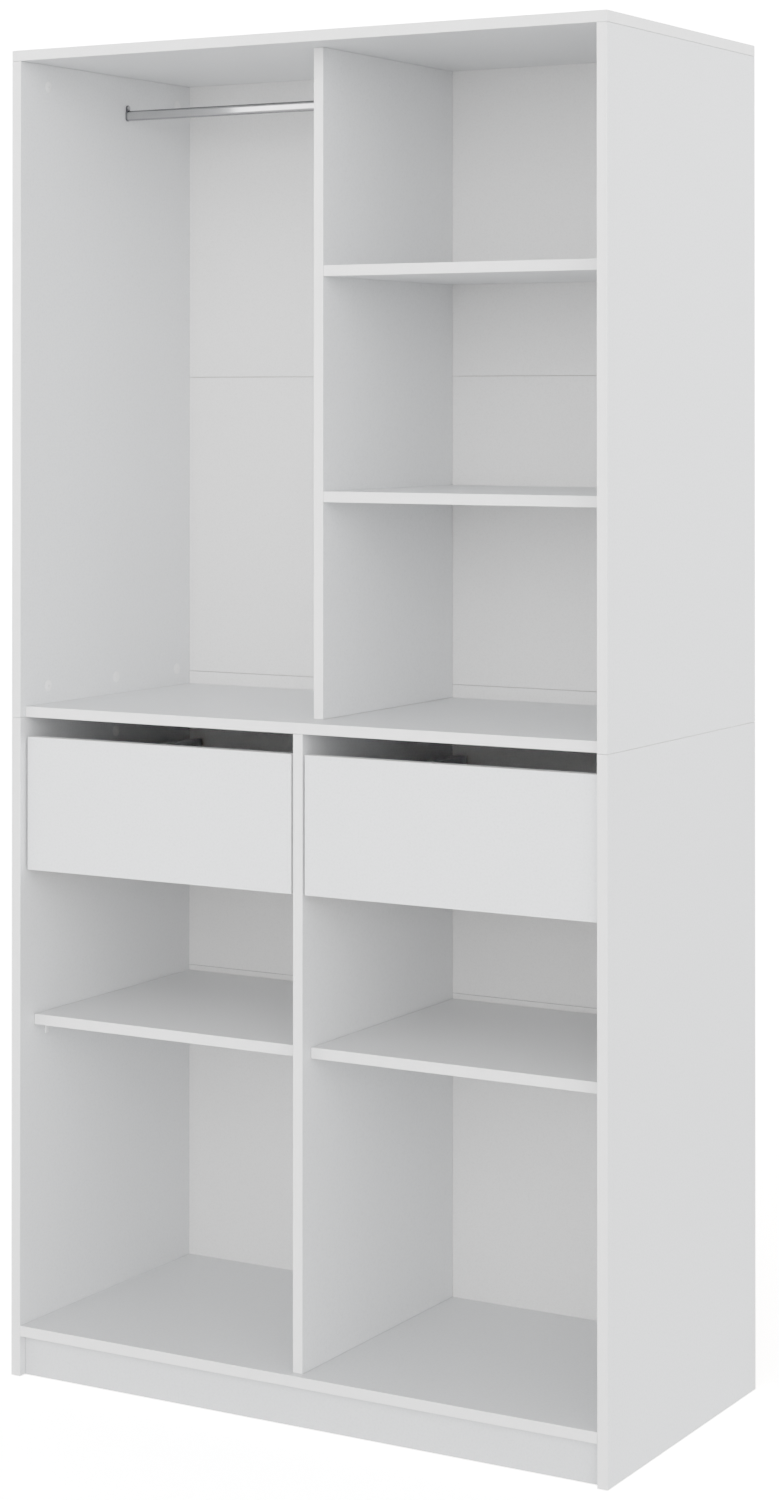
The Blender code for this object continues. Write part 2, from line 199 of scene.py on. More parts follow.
def new_material(name):
    mat = bpy.data.materials.new(name)
    mat.use_nodes = True
    g = Graph(mat.node_tree)
    shader = mat.node_tree.nodes["Principled BSDF"]
    place = g.add("ShaderNodeTexCoord").outputs["Object"]
    return mat, g, shader, place


def make_floor():
    """A plain pale floor that runs into the white backdrop."""
    mesh = bpy.data.meshes.new("floor")
    bm = bmesh.new()
    bmesh.ops.create_grid(bm, x_segments=1, y_segments=1, size=24.0)
    bm.to_mesh(mesh)
    bm.free()
    obj = bpy.data.objects.new("floor", mesh)
    SCENE.collection.objects.link(obj)
    obj.location = (0.0, 0.0, -0.0005)
    mat, g, shader, place = new_material("floor_paint")
    grain = g.noise(place, 140.0, 2.0)
    g.set(shader.inputs["Base Color"],
          g.mix(grain, (0.915, 0.915, 0.915, 1.0), (0.925, 0.925, 0.925, 1.0)))
    g.set(shader.inputs["Roughness"], g.remap(grain, 0.0, 1.0, 0.72, 0.82))
    g.set(shader.inputs["Emission Color"], (1.0, 1.0, 1.0, 1.0))
    # In view it is as white as the backdrop.
    seen = g.add("ShaderNodeLightPath").outputs["Is Camera Ray"]
    g.set(shader.inputs["Emission Strength"], g.math("MULTIPLY", seen, 0.80))
    mesh.materials.append(mat)


# ------------------------------------------------------------------- finishes
def grey(value, warm=0.0):
    """A near-neutral colour: warm above 0 is redder, below 0 is bluer."""
    return (value * (1.0 + warm), value, value * (1.0 - warm), 1.0)


def facing(g):
    """X, Y and Z of the surface's own direction."""
    geometry = g.add("ShaderNodeNewGeometry")
    return g.add("ShaderNodeSeparateXYZ",
                 {0: geometry.outputs["True Normal"]}).outputs


def chips(g, place, stretch):
    """Raw chipboard: flat chips of several sizes in a darker bond. Returns
    its colour and its height in metres."""
    along = g.scaled(place, stretch)
    coarse = g.cells(along, 230.0, "Color")
    shade = g.add("ShaderNodeSeparateColor", {0: coarse}).outputs[0]
    fine = g.noise(along, 900.0, 3.0, 0.65)
    gap = g.remap(g.cells(along, 230.0), 0.25, 0.75)
    colour = g.mix(shade, (0.46, 0.31, 0.165, 1.0), (0.66, 0.50, 0.32, 1.0))
    colour = g.mix(g.remap(fine, 0.35, 0.75, 0.0, 0.65), colour,
                   (0.30, 0.185, 0.085, 1.0))
    colour = g.mix(g.math("MULTIPLY", gap, 0.55), colour,
                   (0.25, 0.15, 0.07, 1.0))
    height = g.math("MULTIPLY", g.math("SUBTRACT", fine, gap), 0.00012)
    return colour, height


def white_board(name, axis, raw=(), raw_stretch=(1.0, 1.0, 0.4), white=1.0):
    """Faced chipboard. axis is across the board. raw lists the directions, such
    as (1, 1) for +Y, whose edges show bare chipboard; the other edges have a
    smooth edge band. white scales how light the faces are; below 1 it is
    painted shade, a board darkened for the dim light where it stands."""
    mat, g, shader, place = new_material(name)
    n = facing(g)
    flat = g.math("ABSOLUTE", n[axis])
    edge = g.remap(flat, 0.90, 0.97, 1.0, 0.0)

    cloud = g.noise(place, 2.6, 3.0, 0.55)
    speck = g.noise(place, 300.0, 2.0, 0.6)
    pearl = g.noise(place, 1150.0, 2.0, 0.6)
    peel = g.noise(place, 120.0, 1.0)
    # Where white is below 1 the faces are darkened: painted shade.
    face = g.mix(cloud, grey(0.795 * white, -0.009),
                 grey(0.815 * white, -0.012))
    face = g.mix(g.remap(speck, 0.46, 0.76, 0.0, 0.75), face,
                 grey(0.745 * white, -0.010))
    band = g.mix(g.noise(g.scaled(place, (1.0, 1.0, 1.0)), 60.0, 2.0),
                 grey(0.805), grey(0.825))
    colour = g.mix(edge, face, band)
    rough = g.remap(g.math("ADD", g.math("MULTIPLY", pearl, 0.6),
                           g.math("MULTIPLY", cloud, 0.4)),
                    0.30, 0.70, 0.43, 0.54)
    rough = g.blend(edge, rough, g.remap(speck, 0.3, 0.7, 0.34, 0.42))
    height = g.math("ADD", g.math("MULTIPLY", pearl, 0.000014),
                    g.math("MULTIPLY", peel, 0.000012))
    height = g.math("MULTIPLY", height, g.remap(edge, 0.0, 1.0, 1.0, 0.35))
    if raw:
        bare = None
        for index, sign in raw:
            here = g.remap(g.math("MULTIPLY", n[index], float(sign)),
                           0.55, 0.75)
            bare = here if bare is None else g.math("MAXIMUM", bare, here)
        chip, rise = chips(g, place, raw_stretch)
        colour = g.mix(bare, colour, chip)
        rough = g.blend(bare, rough, 0.88)
        height = g.blend(bare, height, rise)
    g.set(shader.inputs["Base Color"], colour)
    g.set(shader.inputs["Roughness"], rough)
    g.set(shader.inputs["Normal"], g.bump(height))
    g.set(shader.inputs["Specular IOR Level"], 0.42)
    return mat


def white_sheet(name, axis, bare_rear):
    """Hardboard with white lacquer on its faces. axis is across the sheet.
    With bare_rear its rear is bare pressed fibre."""
    mat, g, shader, place = new_material(name)
    n = facing(g)
    edge = g.remap(g.math("ABSOLUTE", n[axis]), 0.60, 0.85, 1.0, 0.0)
    cloud = g.noise(place, 3.4, 3.0, 0.55)
    speck = g.noise(place, 360.0, 2.0, 0.6)
    colour = g.mix(cloud, grey(0.855, 0.006), grey(0.875, 0.004))
    colour = g.mix(g.remap(speck, 0.46, 0.76, 0.0, 0.75), colour,
                   grey(0.805, 0.005))
    colour = g.mix(edge, colour, g.mix(speck, grey(0.46), grey(0.58)))
    rough = g.remap(speck, 0.3, 0.7, 0.46, 0.56)
    rough = g.blend(edge, rough, 0.75)
    height = g.math("MULTIPLY", g.noise(place, 260.0, 2.0), 0.00001)
    if bare_rear:
        rear = g.remap(n[1], 0.60, 0.85)
        tuft = g.noise(place, 70.0, 5.0, 0.62, 0.3)
        fibre = g.noise(g.scaled(place, (1.0, 1.0, 2.6)), 420.0, 4.0, 0.7, 1.4)
        bare = g.mix(g.remap(tuft, 0.30, 0.70), (0.240, 0.130, 0.061, 1.0),
                     (0.305, 0.174, 0.087, 1.0))
        bare = g.mix(g.remap(fibre, 0.40, 0.72, 0.0, 0.75), bare,
                     (0.120, 0.060, 0.026, 1.0))
        # Loose pale fibres, lying both ways.
        level = g.noise(g.scaled(place, (0.30, 1.0, 1.7)), 330.0, 2.0, 0.5, 0.5)
        upright = g.noise(g.scaled(place, (1.7, 1.0, 0.30)), 330.0, 2.0, 0.5,
                          0.5)
        loose = g.remap(g.math("MAXIMUM", level, upright), 0.68, 0.78, 0.0,
                        0.55)
        bare = g.mix(loose, bare, (0.47, 0.31, 0.18, 1.0))

        def ribs(row):
            """The imprint of the wire screen on the bare side."""
            wave = g.math("SINE",
                          g.math("MULTIPLY", row, 2.0 * math.pi / 0.0016))
            return g.math("MULTIPLY", wave, 0.00002)

        xyz = g.add("ShaderNodeSeparateXYZ", {0: place}).outputs
        screen = g.math("ADD", ribs(xyz[0]), ribs(xyz[2]))
        rise = g.math("ADD", screen, g.math("MULTIPLY", fibre, 0.00004))
        colour = g.mix(rear, colour, bare)
        rough = g.blend(rear, rough, 0.82)
        height = g.blend(rear, height, rise)
    g.set(shader.inputs["Base Color"], colour)
    g.set(shader.inputs["Roughness"], rough)
    g.set(shader.inputs["Normal"], g.bump(height))
    g.set(shader.inputs["Specular IOR Level"], 0.40)
    return mat


def metal(name, low, high, rough, stretch, spangle=0.0, scratch=0.0000015,
          ends=None):
    """Bare or plated steel with fine marks along one direction. ends is how
    much darker it is where it turns up and where it turns down: painted
    reflection, darkened lines that stand in for what the round top and bottom
    of a chrome tube reflect."""
    mat, g, shader, place = new_material(name)
    streak = g.noise(g.scaled(place, stretch), 1.0, 3.0, 0.6)
    cloud = g.noise(place, 45.0, 2.0)
    tone = g.math("ADD", g.math("MULTIPLY", streak, 0.6),
                  g.math("MULTIPLY", cloud, 0.4))
    colour = g.mix(g.remap(tone, 0.3, 0.7), low, high)
    if spangle:
        cell = g.add("ShaderNodeSeparateColor",
                     {0: g.cells(place, 170.0, "Color")}).outputs[0]
        colour = g.mix(g.math("MULTIPLY", cell, spangle), colour, low)
    if ends:
        # Painted reflection: faces that turn up or down are darkened, in place
        # of the darker reflections a chrome tube shows there.
        turn = facing(g)[2]
        painted_dark_reflection = g.math("ADD", g.remap(turn, 0.30, 0.75, 0.0, ends[0]),
                      g.remap(turn, -0.30, -0.75, 0.0, ends[1]))
        colour = g.mix(painted_dark_reflection, colour, (0.03, 0.03, 0.032, 1.0))
    g.set(shader.inputs["Base Color"], colour)
    g.set(shader.inputs["Metallic"], 1.0)
    g.set(shader.inputs["Roughness"],
          g.remap(tone, 0.3, 0.7, rough[0], rough[1]))
    g.set(shader.inputs["Normal"],
          g.bump(g.math("MULTIPLY", streak, scratch)))
    return mat


def plastic(name, low, high, rough, grain=0.000006):
    """Moulded plastic with a fine spark-eroded grain."""
    mat, g, shader, place = new_material(name)
    fine = g.noise(place, 1900.0, 2.0, 0.6)
    cloud = g.noise(place, 90.0, 2.0)
    g.set(shader.inputs["Base Color"], g.mix(cloud, low, high))
    g.set(shader.inputs["Roughness"], g.remap(fine, 0.3, 0.7, *rough))
    g.set(shader.inputs["Normal"], g.bump(g.math("MULTIPLY", fine, grain)))
    g.set(shader.inputs["Specular IOR Level"], 0.5)
    return mat


def paper_tape():
    """Crinkled white paper tape."""
    mat, g, shader, place = new_material("paper_tape")
    crease = g.noise(g.scaled(place, (900.0, 120.0, 160.0)), 1.0, 3.0, 0.6)
    cloud = g.noise(place, 25.0, 3.0)
    colour = g.mix(cloud, grey(0.66, 0.05), grey(0.72, 0.04))
    colour = g.mix(g.remap(crease, 0.5, 0.8, 0.0, 0.5), colour,
                   grey(0.56, 0.07))
    g.set(shader.inputs["Base Color"], colour)
    g.set(shader.inputs["Roughness"], g.remap(crease, 0.3, 0.7, 0.68, 0.8))
    g.set(shader.inputs["Normal"],
          g.bump(g.math("MULTIPLY", crease, 0.00006)))
    return mat


make_camera()
make_world()
set_response()
make_floor()

X, Y, Z = 0, 1, 2
SIDE_UPPER = white_board("white_board_side_upper", X, [(Y, 1)])
SIDE_LOWER = white_board("white_board_side_lower", X, [(Y, 1), (Z, -1)])
LEVEL = white_board("white_board_level", Z, [(Y, 1)], (0.4, 1.0, 1.0))
FRONT = white_board("white_board_front", Y)
# The plinth's faces are darkened (white 0.88): painted shade, for the dimmer
# light low down by the floor.
PLINTH = white_board("white_board_plinth", Y, [(Z, -1)], (0.4, 1.0, 1.0), 0.88)
# The drawer boxes are darkened (white 0.86): painted shade, for the deep shade
# of the drawer gaps they are seen through.
BOX_SIDE = white_board("white_board_box_side", X, [(Y, 1), (Z, -1)],
                       (1.0, 0.4, 1.0), 0.86)
BOX_BACK = white_board("white_board_box_back", Y, [(Z, -1)], (0.4, 1.0, 1.0),
                       0.86)
BACK_SHEET = white_sheet("white_hardboard_back", Y, True)
BOX_SHEET = white_sheet("white_hardboard_bottom", Z, False)
# The rail's chrome carries painted reflection: it is darkened along its round
# top and bottom.
CHROME = metal("chrome_plate", (0.51, 0.51, 0.515, 1.0),
               (0.57, 0.57, 0.575, 1.0), (0.15, 0.21), (14.0, 1300.0, 1300.0),
               ends=(0.80, 0.45))
CAST = metal("cast_bracket", (0.17, 0.17, 0.18, 1.0), (0.24, 0.24, 0.25, 1.0),
             (0.26, 0.36), (420.0, 420.0, 420.0), 0.3, 0.000006)
ZINC = metal("zinc_plate", (0.42, 0.43, 0.45, 1.0), (0.58, 0.59, 0.61, 1.0),
             (0.28, 0.42), (1100.0, 16.0, 1100.0), 0.45, 0.000004)
SCREW = metal("screw_steel", (0.46, 0.46, 0.47, 1.0), (0.62, 0.62, 0.63, 1.0),
              (0.24, 0.36), (700.0, 700.0, 700.0), 0.2, 0.000003)
WHITE = plastic("white_plastic", grey(0.90), grey(0.92), (0.30, 0.40))
CAP = plastic("cap_plastic", grey(0.86), grey(0.88), (0.34, 0.44))
BLACK = plastic("black_plastic", grey(0.018), grey(0.026), (0.40, 0.52))
TAPE = paper_tape()


def dress(node, mat):
    obj = NODES[node]
    obj.data.materials.clear()
    obj.data.materials.append(mat)


for node in ("left_side_upper", "right_side_upper", "upper_divider",
             "lower_divider"):
    dress(node, SIDE_UPPER)
for node in ("left_side_lower", "right_side_lower"):
    dress(node, SIDE_LOWER)
for node in ("top_panel", "middle_panel", "bottom_panel", "upper_shelf_high",
             "upper_shelf_low", "lower_left_shelf", "lower_right_shelf"):
    dress(node, LEVEL)
dress("plinth", PLINTH)
for row in range(1, 5):
    dress("back_sheet_%d" % row, BACK_SHEET)
for drawer in ("left_drawer", "right_drawer"):
    dress(drawer + "_front", FRONT)
    dress(drawer + "_side_left", BOX_SIDE)
    dress(drawer + "_side_right", BOX_SIDE)
    dress(drawer + "_back", BOX_BACK)
    dress(drawer + "_bottom", BOX_SHEET)


# --------------------------------------------------------------- mesh helpers
def to_mesh(name, bm, angle=32.0):
    bmesh.ops.recalc_face_normals(bm, faces=bm.faces)
    mesh = bpy.data.meshes.new(name)
    bm.to_mesh(mesh)
    bm.free()
    mesh.shade_smooth()
    mesh.set_sharp_from_angle(angle=math.radians(angle))
    return mesh


def turned(name, profile, segments=48):
    """A closed shape turned about X. profile is (X, radius), end to end."""
    bm = bmesh.new()
    line = [bm.verts.new((x, r, 0.0)) for x, r in profile]
    rims = [bm.edges.new(pair) for pair in zip(line, line[1:])]
    bmesh.ops.spin(bm, geom=line + rims, cent=(0.0, 0.0, 0.0),
                   axis=(1.0, 0.0, 0.0), angle=2.0 * math.pi, steps=segments)
    bmesh.ops.remove_doubles(bm, verts=bm.verts, dist=1e-7)
    return to_mesh(name, bm)


def solid(name, loop, x0, x1):
    """An outline in (Y, Z) made solid from x0 to x1."""
    bm = bmesh.new()
    low = [bm.verts.new((x0, y, z)) for y, z in loop]
    high = [bm.verts.new((x1, y, z)) for y, z in loop]
    bm.faces.new(low)
    bm.faces.new(reversed(high))
    for i in range(len(loop)):
        j = (i + 1) % len(loop)
        bm.faces.new((low[j], low[i], high[i], high[j]))
    return to_mesh(name, bm)


def worked(mesh, cuts=(), joins=(), bevel=0.0, segments=2, angle=32.0):
    """The mesh with others joined to it and cut from it, and its sharp edges
    rounded."""
    tools = []

    def stand(data):
        obj = bpy.data.objects.new("work", data)
        SCENE.collection.objects.link(obj)
        tools.append(obj)
        return obj

    body = stand(mesh)
    for operation, group in (("UNION", joins), ("DIFFERENCE", cuts)):
        for data in group:
            mod = body.modifiers.new("shape", "BOOLEAN")
            mod.operation = operation
            mod.solver = "EXACT"
            mod.object = stand(data)
    if bevel:
        mod = body.modifiers.new("edges", "BEVEL")
        mod.width = bevel
        mod.segments = segments
        mod.limit_method = "ANGLE"
        mod.angle_limit = math.radians(40.0)
    bpy.context.view_layer.update()
    graph = bpy.context.evaluated_depsgraph_get()
    made = bpy.data.meshes.new_from_object(body.evaluated_get(graph))
    for obj in tools:
        bpy.data.objects.remove(obj, do_unlink=True)
    bm = bmesh.new()
    bm.from_mesh(made)
    bmesh.ops.remove_doubles(bm, verts=bm.verts, dist=1e-7)
    bpy.data.meshes.remove(made)
    return to_mesh(mesh.name, bm, angle)


def grouped(name, mesh, matrices):
    """Copies of one mesh, each at its own place, in one mesh."""
    bm = bmesh.new()
    for matrix in matrices:
        copy = mesh.copy()
        copy.transform(matrix)
        bm.from_mesh(copy)
        bpy.data.meshes.remove(copy)
    return to_mesh(name, bm)


def moved(mesh, matrix):
    mesh.transform(matrix)
    return mesh


def piece(name, mesh, mat, body, matrix=Matrix.Identity(4), node=None):
    """Puts a finished piece in place on its body."""
    obj = bpy.data.objects.new(name, mesh)
    SCENE.collection.objects.link(obj)
    if not mesh.materials:
        mesh.materials.append(mat)
    obj.matrix_world = matrix
    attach(obj, body)
    if node:
        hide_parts(node)
    return obj


def cross(size, width, depth, at):
    """Cutters for a cross recess that opens towards +X at X = at."""
    made = []
    for turn in (0.0, math.pi / 2):
        bm = bmesh.new()
        bmesh.ops.create_cube(
            bm, size=1.0, matrix=Matrix.Translation((at, 0.0, 0.0))
            @ Matrix.Rotation(turn, 4, "X")
            @ Matrix.Diagonal((2.0 * depth, size, width, 1.0)))
        inner = [v for v in bm.verts if v.co.x < at]
        for v in inner:
            v.co.y *= 0.72
            v.co.z *= 0.72
        made.append(to_mesh("cross", bm))
    return made


def rounded(path, radius, steps=4):
    """An open path of (u, v) points with its corners rounded."""
    line = [Vector(path[0])]
    for before, corner, after in zip(path, path[1:], path[2:]):
        corner = Vector(corner)
        back = (Vector(before) - corner).normalized()
        on = (Vector(after) - corner).normalized()
        half = math.acos(max(-1.0, min(1.0, back.dot(on)))) / 2.0
        reach = radius / math.tan(half)
        centre = corner + (back + on).normalized() * (radius / math.sin(half))
        first = corner + back * reach - centre
        last = corner + on * reach - centre
        sweep = first.angle_signed(last)
        for i in range(steps + 1):
            angle = sweep * i / steps
            c, s = math.cos(-angle), math.sin(-angle)
            # angle_signed counts clockwise turns as positive
            line.append(centre + Vector((c * first.x - s * first.y,
                                         s * first.x + c * first.y)))
    line.append(Vector(path[-1]))
    return line


def strip(name, path, radius, steel, y0, y1):
    """Sheet steel bent along a path of (X, Z) points and run from y0 to y1."""
    line = rounded(path, radius)
    left, right = [], []
    for i, point in enumerate(line):
        a = line[max(i - 1, 0)]
        b = line[min(i + 1, len(line) - 1)]
        across = Vector((-(b - a).y, (b - a).x)).normalized() * steel / 2.0
        left.append(point + across)
        right.append(point - across)
    bm = bmesh.new()
    rows = []
    for y in (y0, y1):
        rows.append([[bm.verts.new((p.x, y, p.y)) for p in edge]
                     for edge in (left, right)])
    (l0, r0), (l1, r1) = rows
    last = len(line) - 1
    for i in range(last):
        j = i + 1
        bm.faces.new((l0[i], l0[j], l1[j], l1[i]))
        bm.faces.new((r0[j], r0[i], r1[i], r1[j]))
        bm.faces.new((l0[j], l0[i], r0[i], r0[j]))
        bm.faces.new((l1[i], l1[j], r1[j], r1[i]))
    bm.faces.new((l0[0], l1[0], r1[0], r0[0]))
    bm.faces.new((l1[last], l0[last], r0[last], r1[last]))
    return to_mesh(name, bm)


def rod(radius, x0, x1, y, z, segments=24):
    """A plain round cutter along X."""
    made = turned("rod", [(x0, 0.0), (x0, radius), (x1, radius), (x1, 0.0)],
                  segments)
    return moved(made, Matrix.Translation((0.0, y, z)))


def centre_of(node):
    lo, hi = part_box(node)
    return (lo + hi) / 2.0


HALF_TURN = Matrix.Rotation(math.pi, 4, "Z")
INNER_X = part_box("right_side_upper")[0].x
CARCASS, BOARD, FASTENER = "carcass", 0.016, "white_plastic"


def at(x, y, z, sign=-1):
    """A place whose local X points to the middle of the wardrobe."""
    turn = HALF_TURN if sign > 0 else Matrix.Identity(4)
    return Matrix.Translation((x, y, z)) @ turn


# ----------------------------------------------------- cam connectors, rimmed
# A low dome that runs into a thin rim.
CAM_CAP = ([(0.0015 - 0.00095 * (i / 10.0) ** 2, 0.0082 * i / 10.0)
            for i in range(11)]
           + [(0.00046, 0.0086), (0.00036, 0.0088), (0.00030, 0.0087)])
CAM_BODY = CAM_CAP + [(0.0003, 0.0073), (-0.0118, 0.0073),
                      (-0.0122, 0.0069), (-0.0122, 0.0)]
CAM = worked(turned("cam_connector", CAM_BODY, 56),
             cross(0.0046, 0.0010, 0.0016, 0.0016))
CAM_SHALLOW = worked(turned("cam_cap", CAM_CAP + [(0.00030, 0.0)], 56),
                     cross(0.0046, 0.0010, 0.0011, 0.0016))
for side, sign in (("left", -1), ("right", 1)):
    for row, places in (("top", ("front", "rear")),
                        ("joint", ("front", "middle", "rear"))):
        for where in places:
            node = "cam_%s_%s_%s" % (row, side, where)
            c = centre_of(node)
            piece("connector_%s_%s_%s" % (row, side, where), CAM, CAP,
                  CARCASS, at(sign * INNER_X, c.y, c.z, sign), node)
    # The matching row just below the joint, in the lower sides.
    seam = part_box("%s_side_lower" % side)[1].z
    for where in ("front", "middle", "rear"):
        c = centre_of("cam_joint_%s_%s" % (side, where))
        piece("connector_below_%s_%s" % (side, where), CAM_SHALLOW, CAP,
              CARCASS,
              at(sign * INNER_X, c.y, 2.0 * seam - c.z, sign))

# ------------------------------------------------------------- hanging rail
def ring(radius, steps, start, end, centre):
    return [(centre[0] + radius * math.cos(start + (end - start) * i / steps),
             centre[1] + radius * math.sin(start + (end - start) * i / steps))
            for i in range(steps + 1)]


def oval(inset, steps=28):
    """The rail's outline, inset all round: flat sides that run into round
    ends above and below."""
    r, rise = DEEP / 2.0 - inset, (TALL - DEEP) / 2.0
    near = rise - 0.0003
    return (ring(r, steps, 0.0, math.pi, (0.0, rise))
            + [(-r, near), (-r, -near)]
            + ring(r, steps, math.pi, 2.0 * math.pi, (0.0, -rise))
            + [(r, -near), (r, near)])


lo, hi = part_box("hanging_rail")
rail = (lo + hi) / 2.0
half, DEEP, TALL = (hi.x - lo.x) / 2.0, hi.y - lo.y, hi.z - lo.z
tube = worked(solid("rail_tube", oval(0.0), -half, half),
              [solid("rail_bore", oval(0.0010), -half - 0.01, half + 0.01)],
              bevel=0.0003)
piece("rail_tube", tube, CHROME, CARCASS,
      Matrix.Translation(rail), "hanging_rail")

TAB_W, TAB_TOP, PLATE = 0.0042, 0.0168, 0.0025
flange, rise = DEEP / 2.0 + 0.0006, (TALL - DEEP) / 2.0
lift = math.acos(TAB_W / flange)
tab = (ring(flange, 8, math.pi - lift, math.pi, (0.0, rise))
       + ring(flange, 32, math.pi, 2.0 * math.pi, (0.0, -rise))
       + ring(flange, 8, 0.0, lift, (0.0, rise))
       + ring(TAB_W, 20, 0.0, math.pi, (0.0, TAB_TOP - TAB_W)))
SCREW_Z = TAB_TOP - TAB_W
plate = worked(solid("rail_plate", tab, 0.0, PLATE),
               [rod(0.0017, -0.001, 0.01, 0.0, SCREW_Z)], bevel=0.0004)
spigot = worked(solid("spigot", oval(0.0014), 0.0012, 0.0115),
                [solid("spigot_bore", oval(0.0030), 0.0040, 0.0200)],
                bevel=0.0003)
BRACKET = worked(plate, joins=[spigot])
BRACKET.name = "rail_bracket"
HEAD = [(0.00190, 0.0), (0.00190, 0.0010), (0.00178, 0.0019),
        (0.00140, 0.0026), (0.00085, 0.0030), (0.00030, 0.0031),
        (0.0, 0.0031), (0.0, 0.0014), (-0.0024, 0.0014), (-0.0024, 0.0)]
PAN_SCREW = worked(turned("pan_screw", HEAD, 32),
                   cross(0.0030, 0.0007, 0.0011, 0.0020))
for side, sign in (("left", -1), ("right", 1)):
    lo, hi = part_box("rail_bracket_%s" % side)
    x = lo.x if sign < 0 else hi.x
    piece("rail_end_%s" % side, BRACKET, CAST, CARCASS,
          at(x, rail.y, rail.z, sign), "rail_bracket_%s" % side)
    piece("rail_screw_%s" % side, PAN_SCREW, SCREW, CARCASS,
          at(x - sign * (PLATE + 0.0001), rail.y, rail.z + SCREW_Z, sign))

# ------------------------------------------------------------- shelf supports
BEAM = 0.004


def support_mesh():
    """A ledge under the shelf, a plate on the side, a rib and a peg."""
    bm = bmesh.new()
    loop = [(0.0003, -0.0003), (0.0003, -0.0180), (0.0023, -0.0180),
            (0.0023, -0.0064), (0.0034, -0.0036), (0.0060, -0.0024),
            (0.0103, -0.0022), (0.0103, -0.0003)]
    front = [bm.verts.new((x, -BEAM, z)) for x, z in loop]
    rear = [bm.verts.new((x, BEAM, z)) for x, z in loop]
    bm.faces.new(front)
    bm.faces.new(reversed(rear))
    for i in range(len(loop)):
        j = (i + 1) % len(loop)
        bm.faces.new((front[j], front[i], rear[i], rear[j]))
    plate = worked(to_mesh("shelf_support", bm), bevel=0.0004)
    peg = [(-0.0079, 0.0), (-0.0079, 0.0019), (-0.0073, 0.0025),
           (0.0012, 0.0025), (0.0012, 0.0)]
    return worked(plate, joins=[moved(turned("peg", peg, 28),
                                      Matrix.Translation((0, 0, -0.008)))])


SUPPORT = support_mesh()
PIN = turned("shelf_pin", [(-0.0170, 0.0), (-0.0170, 0.0016),
                           (-0.0167, 0.0021), (-0.0162, 0.0024),
                           (-0.0156, 0.0025), (0.0156, 0.0025),
                           (0.0162, 0.0024), (0.0167, 0.0021),
                           (0.0170, 0.0016), (0.0170, 0.0)], 28)
for where in ("front", "rear"):
    for side, sign in (("left", -1), ("right", 1)):
        node = "shelf_support_%s_%s" % (side, where)
        lo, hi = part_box(node)
        piece("support_%s_%s" % (side, where), SUPPORT, WHITE, CARCASS,
              at(sign * INNER_X, (lo.y + hi.y) / 2.0, hi.z + 0.0003,
                           sign), node)
    node = "shelf_pin_" + where
    piece("pin_" + where, PIN, ZINC, CARCASS,
          Matrix.Translation(centre_of(node)), node)

# ------------------------------------------------------- back: taped seams
for row in range(1, 4):
    upper, lower = "back_sheet_%d" % row, "back_sheet_%d" % (row + 1)
    seam = (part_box(upper)[0].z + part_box(lower)[1].z) / 2.0
    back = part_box(upper)[1].y + 0.00008
    bm = bmesh.new()
    bmesh.ops.create_cube(
        bm, size=1.0, matrix=Matrix.Translation((0.0, back + 0.00015, seam))
        @ Matrix.Diagonal((2.0 * INNER_X - 0.004, 0.0003, 0.036, 1.0)))
    bmesh.ops.subdivide_edges(
        bm, edges=[e for e in bm.edges
                   if abs(e.verts[0].co.x - e.verts[1].co.x) > 0.1],
        cuts=48, use_grid_fill=True)
    for v in bm.verts:
        # A tape laid by hand: it wanders a little along its length.
        v.co.z += 0.0006 * math.sin(9.0 * v.co.x + 1.7 * row)
    piece("back_seam_tape_%d" % row, to_mesh("seam_tape_%d" % row, bm), TAPE,
          CARCASS)

# Nails hold the sheets to the inner boards, clear of the tapes.
NAIL = turned("nail", [(0.00062, 0.0), (0.00060, 0.0010), (0.00050, 0.0018),
                       (0.00028, 0.0023), (0.00006, 0.0022),
                       (0.00006, 0.0008), (-0.0022, 0.0008),
                       (-0.0022, 0.0)], 24)
TO_REAR = Matrix.Rotation(math.pi / 2, 4, "Z")
SEAMS = [(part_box("back_sheet_%d" % row)[0].z
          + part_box("back_sheet_%d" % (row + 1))[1].z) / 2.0
         for row in range(1, 4)]
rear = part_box("back_sheet_1")[1].y
spots = []
for node, count, upright in (
        ("middle_panel", 7, False), ("upper_shelf_high", 4, False),
        ("upper_shelf_low", 4, False), ("upper_divider", 7, True),
        ("lower_divider", 7, True)):
    lo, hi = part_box(node)
    axis = 2 if upright else 0
    for i in range(count):
        spot = (lo + hi) / 2.0
        spot[axis] = lo[axis] + 0.045 + (hi[axis] - lo[axis] - 0.09) * i / (
            count - 1)
        # Driven by hand, so no two are quite in line.
        spot.x += 0.0016 * math.sin(7.3 * i + 31.0 * spot.z)
        spot.z += 0.0016 * math.sin(5.1 * i + 23.0 * spot.x)
        if all(abs(spot.z - seam) > 0.024 for seam in SEAMS):
            spots.append(Matrix.Translation((spot.x, rear, spot.z)) @ TO_REAR)
piece("back_nails", grouped("back_nails", NAIL, spots), SCREW, CARCASS)

# ------------------------------------------------------------ drawer runners
STEEL = 0.0012


def channel(web, edge, half, lip):
    """Middle line of a lipped channel, as (X, Z)."""
    s = STEEL / 2.0 if edge > web else -STEEL / 2.0
    v = half - STEEL / 2.0
    return [(edge - s, -half + lip), (edge - s, -v), (web + s, -v),
            (web + s, v), (edge - s, v), (edge - s, half - lip)]


RUNNER_LO, RUNNER_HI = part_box("left_drawer_runner_left_outer")
LENGTH = RUNNER_HI.y - RUNNER_LO.y
lo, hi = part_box("left_drawer_runner_left_middle")
MIDDLE = hi.y - lo.y
HOLES = (-0.163, -0.067, 0.067, 0.163)


def runner(name, section, length, holes, radius):
    made = strip(name, channel(*section), 0.0015, STEEL, -length / 2.0,
                 length / 2.0)
    cuts = [rod(radius, -0.002, 0.016, y, 0.0, 20) for y in holes]
    return worked(made, cuts)


